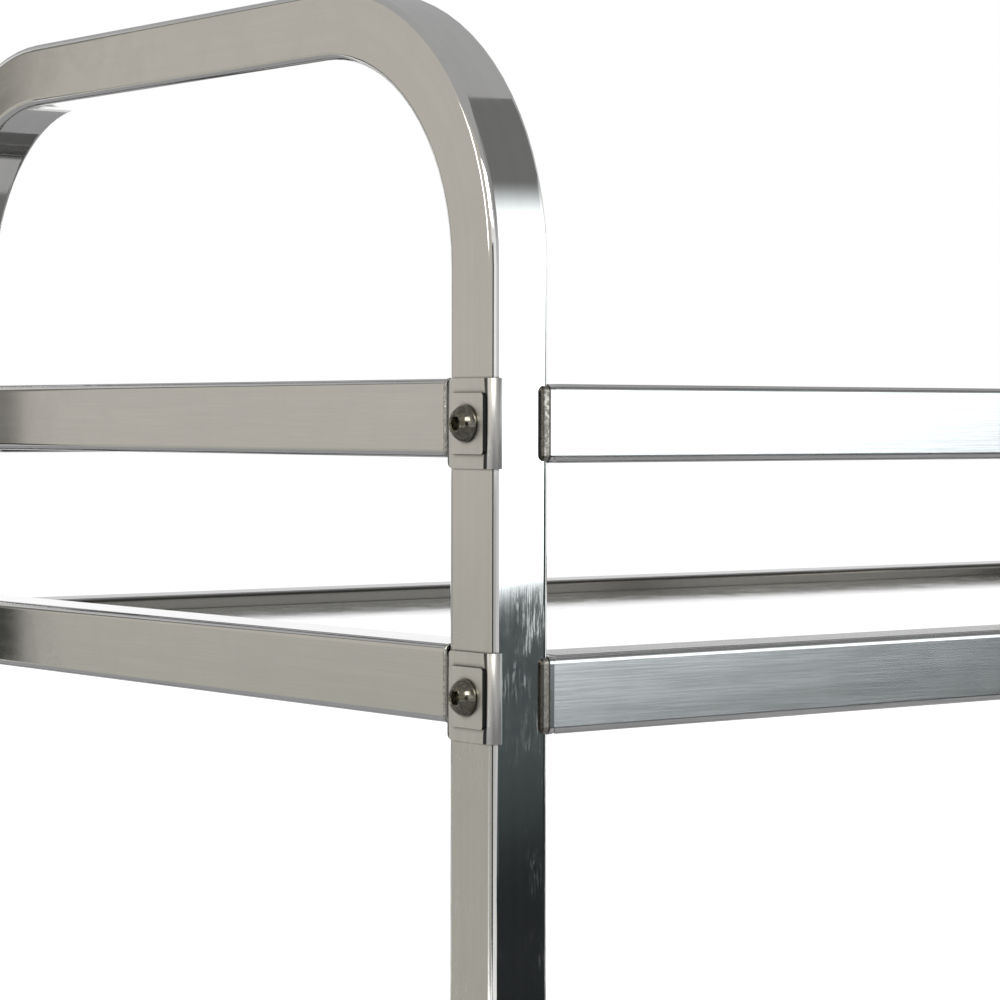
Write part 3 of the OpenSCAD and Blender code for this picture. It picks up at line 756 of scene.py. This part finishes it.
class CART_OT_rail_joints(bpy.types.Operator):
    """Finishes the collars, corner clips, pads and screws that hold the long rails"""

    bl_idname = "cart.rail_joints"
    bl_label = "Rail joints"

    def execute(self, context):
        colours = context.scene.cart_steel
        seam = abs(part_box("rail_collars")[1].x) - COLLAR_SEAM_BACK
        dress(["rail_collars"], cast_steel("collar_ground", colours.collar_colour, 0.40, pits=0.000012,
                                           polished_from=seam))
        # The third value paints shade on the faces that look away from X: grey flanges on the clips, near
        # black sides on the pads; the last setting paints shade round them
        for name, node, edges in (("clip_satin", "corner_clips", 0.60), ("pad_satin", "screw_pads", 0.03)):
            dress([node], steel(name, colours.clip_colour, "z", 0.30, grain=0.000014, streak=0.05,
                                marks=0.05, scratch_amount=0.5, width_factor=0.8, edges=edges, dirt_and_crevice_shade=0.0022))
        self.screws(cast_steel("screw_polish", colours.screw_colour, 0.21, pits=0.000005, rust=0.35))
        soften("corner_clips", 0.00035)
        soften("screw_pads", FINE_EDGE)
        return {"FINISHED"}

    def screws(self, look):
        """Button head screws with a chamfered hexagon socket, in place of the plain ones."""
        pad_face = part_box("screw_pads")[1].x
        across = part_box("rail_screws")[1].y - PLAIN_HEAD_R
        built = bmesh.new()
        for sign in (-1, 1):
            for level in LEVELS:
                z = box_middle(f"{level}_rail_front").z
                for y in (-across, across):
                    self.screw(built, Vector((sign * pad_face, y, z)), sign)
        made = piece_from("button_head_screws", built, "cart", look, 32.0)
        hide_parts("rail_screws")

    def screw(self, built, seat, sign):
        """One screw: shank, rim, dome, chamfer and socket, as rings of the same number of points."""
        dome = SCREW_HEAD_H - SCREW_RIM_H
        ball = (SCREW_HEAD_R ** 2 + dome ** 2) / (2 * dome)
        # Each ring: how far along the shank it lies, and its radius, or None for the socket's hexagon
        rings = [(SCREW_LENGTH, SCREW_SHANK_R * TIP_SHARE), (SCREW_LENGTH, SCREW_SHANK_R - POINT_R),
                 (SCREW_LENGTH - POINT_H, SCREW_SHANK_R), (0.0, SCREW_SHANK_R),
                 (0.0, SCREW_HEAD_R - FINE_EDGE), (-FINE_EDGE, SCREW_HEAD_R), (-SCREW_RIM_H, SCREW_HEAD_R)]
        for i in range(1, DOME_RINGS + 1):
            r = SCREW_HEAD_R + (SOCKET_ENTRY_R - SCREW_HEAD_R) * i / DOME_RINGS
            rings.append((-(SCREW_RIM_H + math.sqrt(ball ** 2 - r ** 2) - (ball - dome)), r))
        top = rings[-1][0]
        rings += [(top + SOCKET_LIP, SOCKET_ENTRY_R - FINE_EDGE), (top + SOCKET_CHAMFER, None),
                  (top + SOCKET_DEPTH, None), (top + SOCKET_DEPTH + SOCKET_CONE, CONE_TIP_R)]
        loops = []
        for along, radius in rings:
            loop = []
            for k in range(SCREW_SIDES):
                a = 2 * math.pi * k / SCREW_SIDES
                r = radius
                if r is None:
                    r = SOCKET_FLATS / 2 / math.cos((a % (math.pi / 3)) - math.pi / 6)
                offset = Vector((-sign * along, r * math.cos(a), r * math.sin(a)))
                loop.append(built.verts.new(seat + offset))
            loops.append(loop)
        for here, there in zip(loops, loops[1:]):
            skin(built, here, there)
        built.faces.new(loops[0])
        built.faces.new(loops[-1])


class CART_OT_trays(bpy.types.Operator):
    """Finishes the two trays with their ribs and tabs"""

    bl_idname = "cart.trays"
    bl_label = "Trays"

    def execute(self, context):
        sheet = steel("tray_bright", context.scene.cart_steel.tray_colour, "x", 0.07, grain=0.000002,
                      streak=0.02, marks=0.04, scratch_amount=0.50, tint=0.015, dust=0.02, width_factor=2.0)
        dress(["work_tray", "shelf_tray", "work_tray_rib", "shelf_tray_rib", "tray_tabs"], sheet)
        return {"FINISHED"}


class CART_OT_welds(bpy.types.Operator):
    """Adds the weld beads between the short rails and the posts"""

    bl_idname = "cart.welds"
    bl_label = "Weld beads"

    def execute(self, context):
        radius = context.scene.cart_steel.weld_radius
        look = cast_steel("weld_bead", (0.66, 0.645, 0.61), 0.50, pits=0.00003, rust=0.3)
        for end in ("left", "right"):
            built = bmesh.new()
            for level in LEVELS:
                low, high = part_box(f"{level}_rail_{end}")
                middle = (low + high) / 2
                for y in (low.y + WELD_INSET, high.y - WELD_INSET):
                    at = Vector((middle.x, y, middle.z))
                    bead(built, *square_loop(at, RAIL_WIDTH / 2, WELD_CORNER_R), radius,
                         seed=middle.z * 31 + y * 17)
            piece_from(f"end_frame_welds_{end}", built, "cart", look)
        return {"FINISHED"}


class CART_OT_wheels(bpy.types.Operator):
    """Builds the ribbed wheels and the grooved tyres in place of the plain ones"""

    bl_idname = "cart.wheels"
    bl_label = "Wheels and tyres"

    def execute(self, context):
        settings = context.scene.cart_casters
        body_look = moulded_plastic("wheel_moulding", settings.wheel_colour, 0.42)
        tyre_look = tyre_rubber("tyre_rubber", settings.tyre_colour)
        for corner in CORNERS:
            self.wheel(corner, settings, body_look)
            self.tyre(corner, settings, tyre_look)
        return {"FINISHED"}

    def wheel(self, corner, settings, look):
        """Hub, web and rim in one turned body, with radial ribs."""
        middle = box_middle(f"tyre_{corner}")
        rim_half = box_size(f"tyre_{corner}").y / 2 - RIM_INSET
        rim_r = box_size(f"wheel_{corner}").z / 2
        hub_half = box_size(f"wheel_{corner}").y / 2
        rim_in = rim_r - RIM_WALL
        hub_fillet, rim_fillet = ((0.0006, 0.0016), (0.0022, 0.0)), ((0.0018, 0.0), (0.0004, 0.0014))
        web_groove = ((0.006, 0.0), (0.0068, 0.0008), (0.0078, 0.0008), (0.0086, 0.0))
        built = bmesh.new()
        # Half of the section, as (radius, offset): bore and hub, web with a groove, rim
        side = [(WHEEL_BORE_R, hub_half - RIM_EDGE), (WHEEL_BORE_R + RIM_EDGE, hub_half),
                (HUB_R - HUB_EDGE, hub_half)]
        side += round_corner((HUB_R - HUB_EDGE, hub_half - HUB_EDGE), HUB_EDGE, 90, 0, 3)[1:]
        side += [(HUB_R + out, WEB_HALF + rise) for out, rise in hub_fillet]
        side += [(HUB_R + out, WEB_HALF - deep) for out, deep in web_groove]
        side += [(rim_in - back, WEB_HALF + rise) for back, rise in rim_fillet]
        side += [(rim_in, rim_half - RIM_EDGE), (rim_in + RIM_EDGE, rim_half), (rim_r - RIM_EDGE, rim_half),
                 (rim_r, rim_half - RIM_EDGE)]
        revolve(built, side + [(r, -y) for r, y in reversed(side)], middle, WHEEL_STEPS)
        length = rim_in - HUB_R + 2 * RIB_OVERLAP
        reach = rim_half - RIB_BELOW_RIM - WEB_HALF
        size = (length, settings.rib_width, reach + RIB_EDGE)
        for face in (-1, 1):
            out = (HUB_R - RIB_OVERLAP + length / 2, face * (WEB_HALF + reach / 2), 0)
            for i in range(settings.spokes):
                turn = 2 * math.pi * (i + 0.5) / settings.spokes
                place = (Matrix.Translation(middle) @ Matrix.Rotation(turn, 4, "Y")
                         @ Matrix.Translation(out) @ Matrix.Rotation(math.radians(90), 4, "X"))
                add_block(built, size, place, RIB_EDGE, RIB_TAPER)
        made = piece_from(f"ribbed_wheel_{corner}", built, f"rolling_wheel_{corner}", look)
        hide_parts(f"wheel_{corner}")

    def tyre(self, corner, settings, look):
        """A tyre with round shoulders, two grooves and a mould seam."""
        tyre_r, half = box_size(f"tyre_{corner}").z / 2, box_size(f"tyre_{corner}").y / 2
        inner = box_size(f"wheel_{corner}").z / 2 + TYRE_FIT
        tread, groove = tyre_r - MOULD_SEAM, tyre_r - settings.groove_depth
        groove_section = ((tread, 0.36), (groove, 0.40), (groove, 0.50), (tread, 0.54))
        lip = ((0.0030, 0.0), (0.0022, 0.0006), (0.0012, 0.0006), (0.0008, 0.0), (0.0, 0.0002))
        built = bmesh.new()
        # Half of the section, as (radius, offset): seam, groove, shoulder, lip at the rim
        side = [(tyre_r, 0.0), (tread, SEAM_HALF)] + [(r, half * share) for r, share in groove_section]
        side += round_corner((tyre_r - TYRE_SHOULDER_R, half - TYRE_SHOULDER_R), TYRE_SHOULDER_R, 0, 90, 7)
        side += [(inner + out, half - sunk) for out, sunk in lip]
        profile = side + [(r, -y) for r, y in reversed(side[1:])]
        revolve(built, profile, box_middle(f"tyre_{corner}"), TYRE_STEPS)
        made = piece_from(f"grooved_tyre_{corner}", built, f"rolling_wheel_{corner}", look,
                          30.0)
        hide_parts(f"tyre_{corner}")


class CART_OT_casters(bpy.types.Operator):
    """Finishes the forks, cups, stems, plugs, bolts and brakes of the casters"""

    bl_idname = "cart.casters"
    bl_label = "Caster hardware"

    def execute(self, context):
        colours = context.scene.cart_casters
        zinc = plated_steel("zinc_plate", colours.zinc_colour, 0.24)
        bolt = plated_steel("bolt_plate", colours.bolt_colour, 0.20)
        dress([f"fork_{c}" for c in CORNERS] + ["caster_stems", "bearing_cups"], zinc)
        dress([f"{kind}_{c}" for kind in ("axle", "axle_nut") for c in CORNERS], bolt)
        dress([f"brake_pin_{c}" for c in BRAKED], bolt)
        dress([f"bush_{c}" for c in CORNERS], sintered_bronze("bush_bronze", colours.bush_colour))
        dress(["post_plugs"], moulded_plastic("plug_moulding", colours.plug_colour, 0.46))
        dress(["sliding_washers"], moulded_plastic("washer_nylon", colours.washer_colour, 0.40))
        pedal = moulded_plastic("pedal_moulding", colours.pedal_colour, 0.44)
        dress([f"brake_pedal_{c}" for c in BRAKED], pedal)
        for corner in BRAKED:
            soften(f"brake_pedal_{corner}", 0.0006)
            self.grip(corner, colours.tread_bars, pedal)
        return {"FINISHED"}

    def grip(self, corner, bars, look):
        """Grip bars across the pedal's foot pad."""
        low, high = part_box(f"brake_pedal_{corner}")
        pin = box_middle(f"brake_pin_{corner}")
        towards = 1 if high.x - pin.x > pin.x - low.x else -1
        built = bmesh.new()
        for i in range(bars):
            x = pin.x + towards * (GRIP_START + (GRIP_END - GRIP_START) * i / (bars - 1))
            length = GRIP_LENGTH - GRIP_SHORTER * abs(i - (bars - 1) / 2)
            place = Matrix.Translation((x, pin.y, high.z + GRIP_LIFT))
            add_block(built, (GRIP_WIDTH, length, GRIP_HEIGHT), place, GRIP_EDGE)
        piece_from(f"pedal_grip_{corner}", built, f"pedal_{corner}", look)


class CART_OT_stage(bpy.types.Operator):
    """Sets the floor, the lamps, the reflectors, the world and the camera"""

    bl_idname = "cart.stage"
    bl_label = "Stage"

    def execute(self, context):
        settings = context.scene.cart_stage
        self.floor(settings)
        self.world(context, settings)
        self.lamps(settings)
        self.reflectors()
        self.camera(context, settings)
        context.scene.view_settings.view_transform = "Standard"
        return {"FINISHED"}

    def floor(self, settings):
        """A wide pale floor that shows white to the camera and keeps the shadow."""
        mesh = bpy.data.meshes.new("studio_floor")
        reach = 40.0
        corners = [(x * reach, y * reach, 0) for x, y in ((-1, -1), (1, -1), (1, 1), (-1, 1))]
        mesh.from_pydata(corners, [], [(0, 1, 2, 3)])
        made = placed("studio_floor", mesh)
        material = bpy.data.materials.new("studio_floor")
        material.use_nodes = True
        tree = material.node_tree
        shader = tree.nodes["Principled BSDF"]
        shader.inputs["Base Color"].default_value = (*settings.floor_colour, 1.0)
        shader.inputs["Roughness"].default_value = 0.9
        shader.inputs["Specular IOR Level"].default_value = 0.0
        shader.inputs["Emission Color"].default_value = WHITE
        glow = 0.55
        tree.links.new(times(tree, self.rays(tree)[1], glow), shader.inputs["Emission Strength"])
        wear(made, material)

    def rays(self, tree):
        """The Light Path node's outputs, and whether the camera sees a surface, also through glass."""
        path = tree.nodes.new("ShaderNodeLightPath").outputs
        return path, calc(tree, "MAXIMUM", path["Is Camera Ray"], path["Is Transmission Ray"])

    def world(self, context, settings):
        """White behind the cart, softer as a light, and darker towards the top in reflections."""
        world = bpy.data.worlds.new("studio")
        context.scene.world = world
        world.use_nodes = True
        tree = world.node_tree
        sky = tree.nodes["Background"]
        sky.inputs["Color"].default_value = WHITE
        path, seen = self.rays(tree)
        mirrored = calc(tree, "SUBTRACT", path["Is Glossy Ray"], seen, clamp=True)
        strength = calc(tree, "MULTIPLY_ADD", seen, 1.0 - settings.sky, settings.sky)
        up = split(tree, tree.nodes.new("ShaderNodeTexCoord").outputs["Generated"])[2]
        graded = calc(tree, "SUBTRACT", ramp(tree, up, 0.10, 0.60, 1.0, 0.42), settings.sky)
        strength = calc(tree, "MULTIPLY_ADD", mirrored, graded, strength)
        tree.links.new(strength, sky.inputs["Strength"])

    def lamps(self, settings):
        """Two soft square lamps, which reflections don't show."""
        for name, where, size, power in (
                ("soft_lamp_over", (-0.6, -0.8, 3.4), 3.0, settings.lamp_power),
                ("soft_lamp_beside", (-3.4, -0.75, 0.95), 0.8, settings.key_power)):
            light = bpy.data.lights.new(name, "AREA")
            light.shape = "SQUARE"
            light.size = size
            light.energy = power
            made = placed(name, light)
            made.location = where
            aim = Vector((0.0, 0.0, 0.55)) - Vector(where)
            made.rotation_euler = aim.to_track_quat("-Z", "Y").to_euler()
            made.visible_glossy = False

    def card(self, name, heading, distance, sides, heights, low_colour, high_colour=None, change=None,
             fade=0.0, lean=0.0):
        """A painted card that only polished metal sees: upright, square to a heading, from side to side.

        Its colour goes from the low one to the high one between the two heights of change. Its top edge
        rises sideways by lean and fades out over the height of fade.
        """
        turn = math.radians(heading)
        middle = Vector((math.cos(turn), math.sin(turn), 0.0)) * distance
        side = Vector((-middle.y, middle.x, 0.0)).normalized()
        left, right = sides
        bottom, top = heights
        corners = [middle + side * s + Vector((0, 0, z))
                   for s, z in ((left, bottom), (right, bottom), (right, top + lean * right),
                                (left, top + lean * left))]
        self.panel(name, corners, low_colour, high_colour, change, fade, top, side * lean)

    def panel(self, name, corners, low_colour, high_colour=None, change=None, fade=0.0, top=0.0,
              lean=(0, 0, 0)):
        """A flat card with the given corners, of one colour or going from one to another."""
        mesh = bpy.data.meshes.new(name)
        mesh.from_pydata([tuple(c) for c in corners], [], [(0, 1, 2, 3)])
        made = placed(name, mesh)
        material = bpy.data.materials.new(name)
        material.use_nodes = True
        tree = material.node_tree
        tree.nodes.clear()
        output = tree.nodes.new("ShaderNodeOutputMaterial")
        place = tree.nodes.new("ShaderNodeTexCoord").outputs["Object"]
        rise = put(tree, "ShaderNodeVectorMath", {0: place, 1: lean}, operation="DOT_PRODUCT")
        height = calc(tree, "SUBTRACT", split(tree, place)[2], rise.outputs["Value"])
        glow = put(tree, "ShaderNodeEmission", {"Color": (*low_colour, 1.0), "Strength": 1.0})
        if change:
            shade = blended(tree, ramp(tree, height, *change), (*low_colour, 1.0), (*high_colour, 1.0))
            tree.links.new(shade, glow.inputs["Color"])
        surface = glow.outputs[0]
        if fade:
            clear = tree.nodes.new("ShaderNodeBsdfTransparent").outputs[0]
            ragged = calc(tree, "SUBTRACT", cloud(tree, place, 9.0, 3.0, 0.6), 0.5)
            share = ramp(tree, raised(tree, height, ragged, 0.07), top - fade, top)
            surface = put(tree, "ShaderNodeMixShader", {0: share, 1: surface, 2: clear}).outputs[0]
        tree.links.new(surface, output.inputs["Surface"])
        wear(made, material)
        for kind in ("camera", "diffuse", "transmission", "volume_scatter", "shadow"):
            setattr(made, f"visible_{kind}", False)

    def reflectors(self):
        """Cards round the cart that give the polished steel its light and dark faces."""
        # Headings from the cart, in degrees, of what its end's faces, its long side's faces and its far
        # rails mirror to the camera
        by_end, by_side, behind = 127.7, -52.3, 52.3
        wall, high_wall = (-0.5, 4.5), (-0.5, 6.0)
        warm_low, warm_high, warm_rise = (0.445, 0.437, 0.385), (0.545, 0.515, 0.468), (0.15, 0.75)
        near_black = (0.021, 0.024, 0.025)
        # The warm grey of the end's faces, and the dark zone at their far edge
        self.card("warm_wall", by_end, 4.0, (-0.316, 7.0), wall, warm_low, warm_high, warm_rise)
        self.card("near_wall", by_end, 2.35, (-0.17, 2.2), (0.0, 0.34), warm_low)
        self.card("dark_doorway", by_end, 4.0, (-0.70, -0.318), wall, (0.025, 0.026, 0.024),
                  (0.19, 0.185, 0.16), (0.45, 0.78))
        # What the far rails and the trays mirror
        self.card("pale_wall", behind, 3.4, (-3.6, 3.6), high_wall, (1.15, 1.15, 1.15),
                  (0.42, 0.42, 0.425), (1.0, 2.0))
        # The white of the long side's faces above, and their dark blue grey below
        self.card("soft_wall", by_side, 3.4, (-3.6, -0.95), high_wall, (0.66, 0.66, 0.67),
                  (0.30, 0.30, 0.30), (1.0, 2.4))
        self.card("white_wall", by_side, 3.4, (-0.95, 3.2), high_wall, (2.08, 2.22, 2.28),
                  (0.18, 0.18, 0.18), (1.50, 2.8))
        self.card("low_flag", by_side, 3.0, (-2.2, 2.2), (-0.5, 0.618), near_black,
                  (0.072, 0.088, 0.090), (0.20, 0.42), fade=0.015, lean=0.26)
        self.card("near_flag", by_side, 1.9, (-1.4, 1.4), (0.0, 0.26), near_black)
        # The lights that show in scratches and in the screws' domes
        self.card("strip_light", 177.6, 2.58, (-0.50, -0.02), (1.0, 1.9), (3.4, 3.3, 3.15))
        self.card("high_light", -134.0, 2.6, (-0.65, 0.50), (1.42, 2.32), (8.5, 8.3, 7.9))
        # What the posts' rounded edges mirror
        self.card("side_wall", -160.0, 3.2, (-0.78, 0.75), (-0.5, 3.0), warm_low, warm_high, warm_rise)
        self.card("dark_side", -118.0, 3.2, (-1.85, -0.75), (0.0, 1.3), (0.05, 0.05, 0.05))
        reach, lift = 2.4, 0.004
        corners = [Vector((x * reach, y * reach, lift)) for x, y in ((-1, -1), (1, -1), (1, 1), (-1, 1))]
        self.panel("floor_flag", corners, (0.34, 0.34, 0.345))

    def camera(self, context, settings):
        """The camera at the photographed corner."""
        data = bpy.data.cameras.new("main_camera")
        data.sensor_width = 36.0
        data.lens = settings.lens
        data.clip_start = 0.05
        data.clip_end = 100.0
        made = placed("main_camera", data)
        yaw, pitch, roll = (math.radians(angle) for angle in (CAMERA_YAW, CAMERA_PITCH, CAMERA_ROLL))
        ahead = Vector((math.cos(yaw) * math.cos(pitch), math.sin(yaw) * math.cos(pitch), -math.sin(pitch)))
        right = Vector((math.sin(yaw), -math.cos(yaw), 0.0))
        up = right.cross(ahead)
        tilted = math.cos(roll) * right + math.sin(roll) * up
        top = math.cos(roll) * up - math.sin(roll) * right
        turn = Matrix((tilted, top, -ahead)).transposed()
        made.matrix_world = Matrix.Translation(CAMERA_PLACE) @ turn.to_4x4()
        context.scene.camera = made


OPERATORS = (CART_OT_end_frames, CART_OT_rails, CART_OT_rail_joints, CART_OT_trays, CART_OT_welds,
             CART_OT_wheels, CART_OT_casters, CART_OT_stage)


class CART_PT_dressing(bpy.types.Panel):
    """Lists the cart's pieces and finishes"""

    bl_idname = "CART_PT_dressing"
    bl_label = "Seasoning cart"
    bl_space_type = "VIEW_3D"
    bl_region_type = "UI"
    bl_category = "Cart"

    def draw(self, context):
        for group in (context.scene.cart_steel, context.scene.cart_casters, context.scene.cart_stage):
            box = self.layout.box()
            for name in group.bl_rna.properties.keys():
                if name not in ("rna_type", "name"):
                    box.prop(group, name)
        for operator in OPERATORS:
            self.layout.operator(operator.bl_idname)


CLASSES = (CartSteelSettings, CartCasterSettings, CartStageSettings, *OPERATORS, CART_PT_dressing)


def register():
    """Adds the classes and the settings."""
    for made in CLASSES:
        bpy.utils.register_class(made)
    bpy.types.Scene.cart_steel = PointerProperty(type=CartSteelSettings)
    bpy.types.Scene.cart_casters = PointerProperty(type=CartCasterSettings)
    bpy.types.Scene.cart_stage = PointerProperty(type=CartStageSettings)


def unregister():
    """Removes the settings and the classes."""
    del bpy.types.Scene.cart_stage
    del bpy.types.Scene.cart_casters
    del bpy.types.Scene.cart_steel
    for made in reversed(CLASSES):
        bpy.utils.unregister_class(made)


def main():
    """Builds the looks in order."""
    register()
    bpy.ops.cart.end_frames()
    bpy.ops.cart.rails()
    bpy.ops.cart.rail_joints()
    bpy.ops.cart.trays()
    bpy.ops.cart.welds()
    bpy.ops.cart.wheels()
    bpy.ops.cart.casters()
    bpy.ops.cart.stage()


if __name__ == "__main__":
    main()
